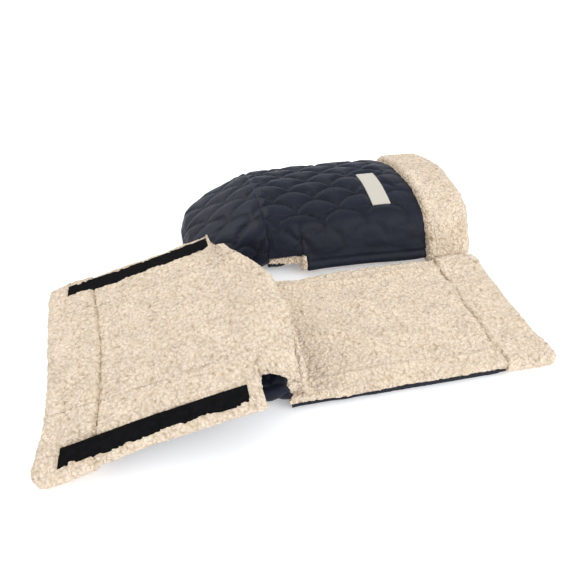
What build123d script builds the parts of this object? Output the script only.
from build123d import *
import math
import os

# A pair of padded handlebar mitts, one opened out and one closed, each a shell, wadding and pile
# lining with a cuff, side flaps and a closed toe pocket.
# X runs along the mitts with the cuffs at +X, Y to the back, Z up; the floor is z = 0. Millimetres.

os.makedirs("parts", exist_ok=True)

# ---------------------------------------------------------------- placing
CUFF_X = 216.06           # cuff end of both lower panels
OPEN_Y = -84.82           # centre line of the opened mitt
CLOSED_Y = 106.18         # centre line of the closed mitt
HINGE_Z = 60.0            # height of the fold line between toe pocket and upper panel
TILT = 15.1               # slope of the opened mitt's laid-back upper panel, degrees
SIDES = (("front", -1), ("rear", 1))   # name and direction along Y

# ---------------------------------------------------------------- layers
# Depths are measured inwards from the outer face of the shell.
SHELL = 1.2               # inner face of the shell
WAD = 4.7                 # inner face of the wadding
LINING = 12.0             # inner face of the pile
CUFF_OUT = 3.0            # how far the cuff stands out of the shell
CUFF_IN = 14.0            # inner face of the cuff
FLOOR_GAP = CUFF_OUT      # the cuff rests on the floor, so the shell hangs above it

# ---------------------------------------------------------------- panels
UPPER_LEN = 218.0
UPPER_HALF = 75.0         # half width of the upper panel between its flap fold lines
LOWER_HALF = 82.0
CUFF_LEN = 48.0
CUFF_CORE = 42.0          # how far the hollow for the wadding reaches into the cuff
CUFF_FLARE = 2.0          # how far a cuff stands past the long edges of its panel or flap
CUFF_CORNER = 14.0        # corner radius of the opened lower cuff
FLAP_W = 35.0
FLAP_LEN = 183.0          # flaps run from the cuff end to the handlebar slot
FLAP_WAD_SHORT = 2.0      # wadding stops this far inside the flap's free edge
MITRE = 0.56              # slope of the layer ends at a flap fold, per mm of depth
GAP = 0.5                 # half the running gap at a flap fold
HINGE_GAP = 1.0           # clearance each side of the upper panel's fold line
SEAM_GAP = 0.3            # between cuff and panel
CORE_GAP = 0.5            # between the end of the wadding and the end of its hollow
LOWER_WALL = 8.0          # height of the opened lower shell's side walls
LOWER_WAD_INSET = 8.0
LOWER_LINING_GAP = 0.1    # between the lining and the shell's side walls
LINING_ROUND = 3.5
OVERRUN = 1.0             # how far a cutter runs past an end face
POCKET_OVERRUN = 2.0      # how far a strip pocket's cutter runs past the inner face

# ---------------------------------------------------------------- fastening strips and label
STRIP_LEN, STRIP_W, STRIP_T = 150.0, 19.5, 1.4
STRIP_FROM_CUFF = 21.0
STRIP_RECESS = 9.4        # depth at which the hook strip's back lies in the pile
HOOK_INSET = 2.5          # pocket to the flap's free edge
HOOK_GAP = 0.2            # between the hook strip and its pocket
LOOP_INSET = 3.0          # loop strip to the long edge of the opened lower panel
LOOP_CUFF_GAP = 4.0       # loop strip to the cuff
LOOP_LIFT = 0.2           # loop strip to the closed shell
LABEL_X, LABEL_Y, LABEL_T = 20.0, 62.0, 0.8
LABEL_FROM_CUFF = 90.0    # label centre line from the cuff end
LABEL_OFF = -28.0         # label centre from the centre line, towards the front flap
LABEL_SINK = 0.05         # how far the closed label's path is raised off the crown

# ---------------------------------------------------------------- stations along the upper panel
# Distances from the fold line, towards the panel's cuff end.
SEAM = UPPER_LEN - CUFF_LEN
BODY_END = SEAM - SEAM_GAP
CORE_END = SEAM + CUFF_CORE
WAD_END = CORE_END - CORE_GAP
SLOT_END = UPPER_LEN - FLAP_LEN
STRIP_END = UPPER_LEN - STRIP_FROM_CUFF
STRIP_START = STRIP_END - STRIP_LEN
LABEL_START = UPPER_LEN - LABEL_FROM_CUFF - LABEL_X / 2
LABEL_END = LABEL_START + LABEL_X
HINGE_X = CUFF_X - UPPER_LEN      # X of the fold line

# ---------------------------------------------------------------- closed mitt's cross-section
CROWN_EDGE_Z = 50.0       # height of the upper panel at its flap fold lines
CROWN_EDGE_Y = 74.0
CROWN_POWER = 2.4
CROWN_SPANS = 8           # spans of the crown's path on each side of the centre line
LABEL_SPANS = 6
FLAP_DROP = math.radians(68.0)    # slope of a closed flap below horizontal
NOTCH_Y = 47.0            # lower panel's half width beside the slot, clear of the handlebar
NOTCH_W = 40.0
NOTCH_H = 45.0
CORE_EASE_LOWER = 0.1     # the lower cuff's hollow is thinner than the wadding by this on each face
CORE_EASE_UPPER = 0.15    # the upper cuff's hollow is thicker than the wadding by this
MARGIN_POINTS = 5         # points of the trough in each turned-up margin

# outer face of the lower panel from the centre line to the rear margin: y, z
TROUGH_REAR = [
    (0.0, 3.0), (14.0, 3.0), (26.0, 3.12), (38.0, 3.4), (48.5, 4.4),
    (56.4, 7.2), (62.0, 11.9), (65.4, 17.0), (66.8, 20.5),
]
TROUGH = [(-y, z) for y, z in reversed(TROUGH_REAR[1:])] + TROUGH_REAR

# ---------------------------------------------------------------- toe pocket
# x from the fold line, half width, bottom z, top z
TOE = [
    (-HINGE_GAP, 80.0, 3.0, 59.0),
    (-23.0, 79.0, 1.8, 50.0),
    (-46.0, 73.5, 0.8, 36.5),
    (-66.0, 62.0, 0.5, 23.0),
    (-78.0, 47.0, 1.6, 13.5),
]
TOE_CAVITY = [
    (-HINGE_GAP + 0.2, 66.0, 15.0, 47.0),
    (-24.0, 64.0, 13.4, 38.0),
    (-46.0, 53.0, 12.6, 24.0),
]
TOE_POINTS = 28           # points round each section
TOE_SPLIT = 0.36          # widest level, as a share of the section's height
TOE_TOP_POWER = 2.7       # superellipse exponents above and below the widest level
TOE_BOTTOM_POWER = 3.4


# ---------------------------------------------------------------- shared helpers
def save(part, name):
    part.label = name
    export_step(part, f"parts/{name}.step")


def cut(body, tool):
    with BuildPart() as result:
        add(body)
        add(tool, mode=Mode.SUBTRACT)
    return result.part


def fold_inset(depth):
    """Distance of a layer's mitred end from the flap fold line."""
    return GAP + MITRE * max(depth, 0.0)


def plate(plane, s0, s1, y0, y1, d0, d1):
    """A flat plate: s along the plane's x, y along its y, d along its normal."""
    with BuildPart() as result:
        with BuildSketch(plane.offset(d0)):
            with Locations(((s0 + s1) / 2, (y0 + y1) / 2)):
                Rectangle(s1 - s0, y1 - y0)
        extrude(amount=d1 - d0)
    return result.part


# ---------------------------------------------------------------- toe pocket, same on both mitts
def toe_section(half, bottom, top, centre_y):
    """Superellipse points: flat underside, arched top."""
    split = bottom + (top - bottom) * TOE_SPLIT
    points = []
    for i in range(TOE_POINTS):
        angle = 2 * math.pi * i / TOE_POINTS
        across, up = math.cos(angle), math.sin(angle)
        power = 2 / (TOE_TOP_POWER if up >= 0 else TOE_BOTTOM_POWER)
        height = top - split if up >= 0 else split - bottom
        y = half * math.copysign(abs(across) ** power, across)
        z = split + height * math.copysign(abs(up) ** power, up)
        points.append((y + centre_y, z))
    return points


def toe_solid(centre_y, inset=0.0, rows=TOE):
    """The toe drawn in by inset all round and at its tip."""
    with BuildPart() as toe:
        for row, (x, half, bottom, top) in enumerate(rows):
            tip_shift = inset if row == len(rows) - 1 else 0.0
            section = toe_section(half - inset, bottom + inset, top - inset, centre_y)
            with BuildSketch(Plane.YZ.offset(HINGE_X + x + tip_shift)):
                with BuildLine():
                    Spline(section, periodic=True)
                make_face()
        loft()
    return toe.part


def build_toe(mitt, centre_y):
    cavity = toe_solid(centre_y, rows=TOE_CAVITY)
    save(cut(toe_solid(centre_y), toe_solid(centre_y, SHELL)), f"{mitt}_toe_shell")
    save(cut(toe_solid(centre_y, SHELL), toe_solid(centre_y, WAD)), f"{mitt}_toe_wadding")
    save(cut(toe_solid(centre_y, WAD), cavity), f"{mitt}_toe_lining")


# ---------------------------------------------------------------- upper panel and flaps
# Each mitt supplies two shape functions, with s0, s1 measured from the fold line:
#   centre(d0, d1, s0, s1)                    the panel between its flap folds
#   flap(sign, span0, span1, d0, d1, s0, s1)  a block on a flap, whose spans from the flap
#                                             fold are span0 at depth d0, span1 at depth d1
def build_centre(mitt, centre, cuff_core):
    save(centre(0, SHELL, HINGE_GAP, BODY_END), f"{mitt}_upper_shell")
    save(centre(SHELL, WAD, HINGE_GAP, WAD_END), f"{mitt}_upper_wadding")
    save(centre(WAD, LINING, HINGE_GAP, BODY_END), f"{mitt}_upper_lining")
    cuff = centre(-CUFF_OUT, CUFF_IN, SEAM, UPPER_LEN)
    save(cut(cuff, cuff_core), f"{mitt}_upper_cuff")


def build_flap(mitt, side, sign, flap):
    def layer(d0, d1, s0, s1, edge=FLAP_W):
        return flap(sign, (fold_inset(d0), edge), (fold_inset(d1), edge), d0, d1, s0, s1)

    def strip(d1, gap=0.0):
        """A block in the hook strip's place, gap smaller all round."""
        far = FLAP_W - HOOK_INSET
        span = (far - STRIP_W + gap, far - gap)
        return flap(sign, span, span, STRIP_RECESS, d1, STRIP_START + gap, STRIP_END - gap)

    save(layer(0, SHELL, SLOT_END, BODY_END), f"{mitt}_{side}_flap_shell")
    wadding = layer(SHELL, WAD, SLOT_END, BODY_END, FLAP_W - FLAP_WAD_SHORT)
    save(wadding, f"{mitt}_{side}_flap_wadding")
    lining = layer(WAD, LINING, SLOT_END, BODY_END)
    save(cut(lining, strip(LINING + POCKET_OVERRUN)), f"{mitt}_{side}_flap_lining")
    cuff = layer(-CUFF_OUT, CUFF_IN, SEAM, UPPER_LEN, FLAP_W + CUFF_FLARE)
    save(cut(cuff, strip(CUFF_IN + POCKET_OVERRUN)), f"{mitt}_{side}_flap_cuff")
    save(strip(STRIP_RECESS + STRIP_T, HOOK_GAP), f"{mitt}_{side}_hook_strip")


def build_flaps(mitt, flap, edging_span0, edging_span1, edging_depth):
    """Both flaps and the edgings beside the handlebar slot."""
    for side, sign in SIDES:
        edging = flap(sign, edging_span0, edging_span1, -1.0, edging_depth,
                      HINGE_GAP + 1.0, SLOT_END - 1.0)
        save(edging, f"{mitt}_slot_edging_{side}")
        build_flap(mitt, side, sign, flap)


# ---------------------------------------------------------------- opened mitt, lower panel
# It lies flat with the pile up. The plane's x runs from the cuff end to the toe, its y to -Y.
ground = Plane(origin=(CUFF_X, OPEN_Y, FLOOR_GAP), x_dir=(-1, 0, 0), z_dir=(0, 0, 1))
GROUND_SEAM = CUFF_LEN + SEAM_GAP         # cuff end to the seam side of the lower panel


def ground_plate(s0, s1, half, d0, d1):
    return plate(ground, s0, s1, -half, half, d0, d1)


def open_lower_shell():
    """A sheet with low walls along its long edges; the cutter overruns both ends."""
    block = ground_plate(GROUND_SEAM, UPPER_LEN, LOWER_HALF, 0, LOWER_WALL)
    hollow = ground_plate(GROUND_SEAM / 2, UPPER_LEN + GROUND_SEAM / 2, LOWER_HALF - SHELL,
                          SHELL, SHELL + LOWER_WALL)
    return cut(block, hollow)


def open_lower_wadding():
    return ground_plate(CUFF_LEN - CUFF_CORE, UPPER_LEN, LOWER_HALF - LOWER_WAD_INSET, SHELL, WAD)


def open_lower_lining():
    half = LOWER_HALF - SHELL - LOWER_LINING_GAP
    with BuildPart() as lining:
        add(ground_plate(GROUND_SEAM, UPPER_LEN, half, WAD, LINING))
        top = lining.faces().sort_by(Axis.Z)[-1]
        fillet(top.edges().filter_by(Axis.X), LINING_ROUND)
    return lining.part


def open_lower_cuff():
    """A band round the panel's end, with its two outer corners rounded."""
    with BuildPart() as cuff:
        with BuildSketch(ground.offset(-CUFF_OUT)) as outline:
            with Locations((CUFF_LEN / 2, 0)):
                Rectangle(CUFF_LEN, 2 * (LOWER_HALF + CUFF_FLARE))
            fillet(outline.vertices().group_by(Axis.X)[0], CUFF_CORNER)
        extrude(amount=CUFF_IN + CUFF_OUT)
        add(ground_plate(CUFF_LEN - CUFF_CORE, CUFF_LEN + OVERRUN,
                         LOWER_HALF - LOWER_WAD_INSET, SHELL, WAD), mode=Mode.SUBTRACT)
    return cuff.part


def open_loop_strip(sign):
    y0, y1 = sorted((sign * (LOWER_HALF - LOOP_INSET - STRIP_W), sign * (LOWER_HALF - LOOP_INSET)))
    return plate(ground, CUFF_LEN + LOOP_CUFF_GAP, STRIP_FROM_CUFF + STRIP_LEN,
                 y0, y1, -STRIP_T, 0.0)


# ---------------------------------------------------------------- opened mitt, upper panel
# It is laid back towards -X with the pile up. The plane's x runs down the panel, its y to -Y.
tilt = math.radians(TILT)
laid = Plane(
    origin=(HINGE_X, OPEN_Y, HINGE_Z),
    x_dir=(-math.cos(tilt), 0, -math.sin(tilt)),
    z_dir=(-math.sin(tilt), 0, math.cos(tilt)),
)


def laid_section(span0, span1, d0, d1, s0, s1):
    """A plate along the laid panel, spanning span0 in Y at depth d0 and span1 at depth d1."""
    across = Plane(origin=laid.origin + laid.x_dir * s0, x_dir=(0, 1, 0), z_dir=-laid.x_dir)
    with BuildPart() as result:
        with BuildSketch(across):
            with BuildLine():
                Polyline((span0[0], d0), (span0[1], d0), (span1[1], d1), (span1[0], d1),
                         close=True)
            make_face()
        extrude(amount=-(s1 - s0))
    return result.part


def laid_centre(d0, d1, s0, s1, fold=UPPER_HALF):
    half0, half1 = fold - fold_inset(d0), fold - fold_inset(d1)
    return laid_section((-half0, half0), (-half1, half1), d0, d1, s0, s1)


def laid_flap(sign, span0, span1, d0, d1, s0, s1):
    y_span0 = sorted(sign * (UPPER_HALF + t) for t in span0)
    y_span1 = sorted(sign * (UPPER_HALF + t) for t in span1)
    return laid_section(y_span0, y_span1, d0, d1, s0, s1)


def build_open_mitt():
    mitt = "open_mitt"
    build_toe(mitt, OPEN_Y)
    save(open_lower_shell(), f"{mitt}_lower_shell")
    save(open_lower_wadding(), f"{mitt}_lower_wadding")
    save(open_lower_lining(), f"{mitt}_lower_lining")
    save(open_lower_cuff(), f"{mitt}_lower_cuff")
    # sign is taken on the ground plane, so the strip named front lies on the +Y side
    for side, sign in SIDES:
        save(open_loop_strip(sign), f"{mitt}_loop_strip_{side}")
    # the hollow is cut wider than the wadding
    core = laid_centre(SHELL, WAD, SEAM - OVERRUN, CORE_END, UPPER_HALF + 2.0)
    build_centre(mitt, laid_centre, core)
    label = plate(laid, LABEL_START, LABEL_END,
                  -LABEL_OFF - LABEL_Y / 2, -LABEL_OFF + LABEL_Y / 2, -LABEL_T, 0.0)
    save(label, f"{mitt}_woven_label")
    build_flaps(mitt, laid_flap, (0.2, 7.0), (0.2, 7.0), LINING)


# ---------------------------------------------------------------- closed mitt
def crown_z(y):
    """Height of the closed upper panel's outer face."""
    return HINGE_Z - (HINGE_Z - CROWN_EDGE_Z) * (abs(y) / CROWN_EDGE_Y) ** CROWN_POWER


CROWN_YS = [CROWN_EDGE_Y * i / CROWN_SPANS for i in range(-CROWN_SPANS, CROWN_SPANS + 1)]
CROWN = [(y, crown_z(y)) for y in CROWN_YS]


def offset_path(points, distance):
    """Offsets an open path to its right: downwards where it runs towards +Y."""
    result = []
    last = len(points) - 1
    for i, (y, z) in enumerate(points):
        before, after = points[max(0, i - 1)], points[min(last, i + 1)]
        run, rise = after[0] - before[0], after[1] - before[1]
        length = math.hypot(run, rise)
        result.append((y + distance * rise / length, z - distance * run / length))
    return result


def towards(start, end, share):
    return tuple(a + (b - a) * share for a, b in zip(start, end))


def sheet_edge(path, offset, mitred):
    """One face of a bent sheet; a mitred one is drawn back from the flap folds."""
    points = offset_path(path, offset)
    if mitred:
        share = fold_inset(offset) / math.dist(points[0], points[1])
        points[0] = towards(points[0], points[1], share)
        points[-1] = towards(points[-1], points[-2], share)
    return [(y + CLOSED_Y, z) for y, z in points]


def bent_sheet(path, offset0, offset1, s0, s1, mitred=False):
    """A sheet between two offsets of a path, running along X from s0 to s1 past the fold line."""
    edge0 = sheet_edge(path, offset0, mitred)
    edge1 = sheet_edge(path, offset1, mitred)
    with BuildPart() as sheet:
        with BuildSketch(Plane.YZ.offset(HINGE_X + s0)):
            with BuildLine():
                Spline(edge0)
                Line(edge0[-1], edge1[-1])
                Spline(edge1[::-1])
                Line(edge1[0], edge0[0])
            make_face()
        extrude(amount=s1 - s0)
    return sheet.part


def closed_lower_layer(d0, d1, end):
    """A layer of the lower panel, its turned-up margins cut away beside the slot."""
    notch_len = SLOT_END + OVERRUN
    notch_x = HINGE_X - OVERRUN + notch_len / 2
    notch_y = NOTCH_Y + NOTCH_W / 2
    with BuildPart() as layer:
        # inwards is up here, so depths are negative offsets
        add(bent_sheet(TROUGH, -d1, -d0, 0, end))
        with BuildSketch(Plane.XY.offset(-1)):
            with Locations((notch_x, CLOSED_Y + notch_y), (notch_x, CLOSED_Y - notch_y)):
                Rectangle(notch_len, NOTCH_W)
        extrude(amount=NOTCH_H, mode=Mode.SUBTRACT)
    return layer.part


def closed_lower_cuff():
    cuff = bent_sheet(TROUGH, -CUFF_IN, CUFF_OUT, SEAM, UPPER_LEN)
    core = bent_sheet(TROUGH, -WAD - CORE_EASE_LOWER, -SHELL + CORE_EASE_LOWER,
                      SEAM - OVERRUN, CORE_END)
    return cut(cuff, core)


def closed_loop_strip(sign):
    margin = TROUGH[-MARGIN_POINTS:] if sign > 0 else TROUGH[:MARGIN_POINTS]
    return bent_sheet(margin, LOOP_LIFT, STRIP_T, STRIP_START, SEAM - LOOP_CUFF_GAP)


def closed_centre(d0, d1, s0, s1):
    return bent_sheet(CROWN, d0, d1, s0, s1, mitred=True)


def closed_label():
    start = LABEL_OFF - LABEL_Y / 2
    ys = [start + LABEL_Y * i / LABEL_SPANS for i in range(LABEL_SPANS + 1)]
    path = [(y, crown_z(y) + LABEL_SINK) for y in ys]
    return bent_sheet(path, -LABEL_T, 0.0, LABEL_START, LABEL_END)


def closed_flap(sign, span0, span1, d0, d1, s0, s1):
    """A block on a hanging flap; spans run down the flap from its fold line."""
    def at(down, depth):
        y = CROWN_EDGE_Y + down * math.cos(FLAP_DROP) - depth * math.sin(FLAP_DROP)
        z = CROWN_EDGE_Z - down * math.sin(FLAP_DROP) - depth * math.cos(FLAP_DROP)
        return (CLOSED_Y + sign * y, z)

    with BuildPart() as result:
        with BuildSketch(Plane.YZ.offset(HINGE_X + s0)):
            with BuildLine():
                Polyline(at(span0[0], d0), at(span0[1], d0), at(span1[1], d1), at(span1[0], d1),
                         close=True)
            make_face()
        extrude(amount=s1 - s0)
    return result.part


def build_closed_mitt():
    mitt = "closed_mitt"
    build_toe(mitt, CLOSED_Y)
    save(closed_lower_layer(0, SHELL, BODY_END), f"{mitt}_lower_shell")
    save(closed_lower_layer(SHELL, WAD, WAD_END), f"{mitt}_lower_wadding")
    save(closed_lower_layer(WAD, LINING, BODY_END), f"{mitt}_lower_lining")
    save(closed_lower_cuff(), f"{mitt}_lower_cuff")
    for side, sign in SIDES:
        save(closed_loop_strip(sign), f"{mitt}_loop_strip_{side}")
    core = bent_sheet(CROWN, SHELL - CORE_EASE_UPPER, WAD + CORE_EASE_UPPER,
                      SEAM - OVERRUN, CORE_END)
    build_centre(mitt, closed_centre, core)
    save(closed_label(), f"{mitt}_woven_label")
    # the edging's section leans: further down the flap on its inner face
    build_flaps(mitt, closed_flap, (1.2, 9.0), (8.0, 12.0), LINING - 1.0)


build_open_mitt()
build_closed_mitt()
